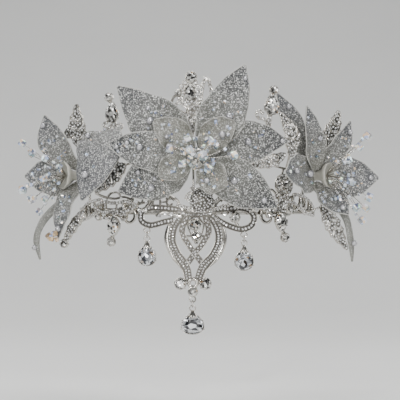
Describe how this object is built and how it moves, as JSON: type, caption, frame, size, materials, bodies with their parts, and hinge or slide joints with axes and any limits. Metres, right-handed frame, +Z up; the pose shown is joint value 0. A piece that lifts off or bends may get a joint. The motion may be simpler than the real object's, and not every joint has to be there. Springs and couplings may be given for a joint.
{
  "type": "bridal crown",
  "caption": "Bridal crown: pierced stone-set metalwork and glittered lily flowers on a curved head wire, with teardrop stones hanging below the front.",
  "frame": {"origin": "centre of the head's oval at the lower edge of the head band", "axes": "+X to the right of a viewer who faces the crown, +Y to the back of the head, +Z up"},
  "size_m": [0.2291, 0.1556, 0.1619],
  "materials": {
    "metal": "polished rhodium-coloured plating",
    "pave": "plated metal set with small clear stones",
    "petal": "milky, coated with fine silver glitter",
    "throat": "smooth, milky, satin",
    "crystal": "cut clear crystal with a faint coloured sheen"
  },
  "bodies": {
    "crown": {"front_ornament": "metal", "left_jump_ring": "metal", "left_drop": "crystal", "right_jump_ring": "metal", "right_drop": "crystal", "centre_finial": "pave", "left_finial": "pave", "right_finial": "pave", "left_low_finial": "pave", "right_low_finial": "pave", "low_fan": "pave", "left_high_leaf": "pave", "right_high_leaf": "pave", "right_crest_leaf": "pave", "right_inner_leaf": "pave", "left_inner_leaf": "pave", "left_low_spray": "pave", "right_low_leaf": "pave", "right_round_cluster": "pave", "left_side_filigree": "pave", "right_side_filigree": "pave", "front_petal_upper_left": "petal", "front_petal_upper_right": "petal", "front_petal_right": "petal", "front_petal_lower_right": "petal", "front_petal_lower_left": "petal", "front_petal_left": "petal", "inner_petal_upper_left": "petal", "inner_petal_upper_right": "petal", "inner_petal_lower_left": "petal", "inner_petal_lower": "petal", "left_petal_up": "petal", "left_petal_back": "petal", "left_petal_down": "petal", "left_petal_front": "petal", "left_sepal": "petal", "right_petal_far": "petal", "right_petal_up": "petal", "right_petal_back": "petal", "right_petal_out": "petal", "right_petal_front": "petal", "right_petal_down": "petal", "right_sepal": "petal", "front_flower_post": "metal", "left_throat": "throat", "right_throat": "throat", "front_crystals": "crystal", "left_crystals": "crystal", "right_crystals": "crystal", "crown_frame": "metal"},
    "main_pendant": {"main_jump_ring": "metal", "main_drop": "crystal"}
  },
  "joints": [
    {"name": "main_drop_swing", "type": "hinge", "parent": "crown", "child": "main_pendant", "pos_m": [-0.0021, -0.09492, -0.0527], "axis": [1, 0, 0], "range_deg": [-45, 45]}
  ]
}
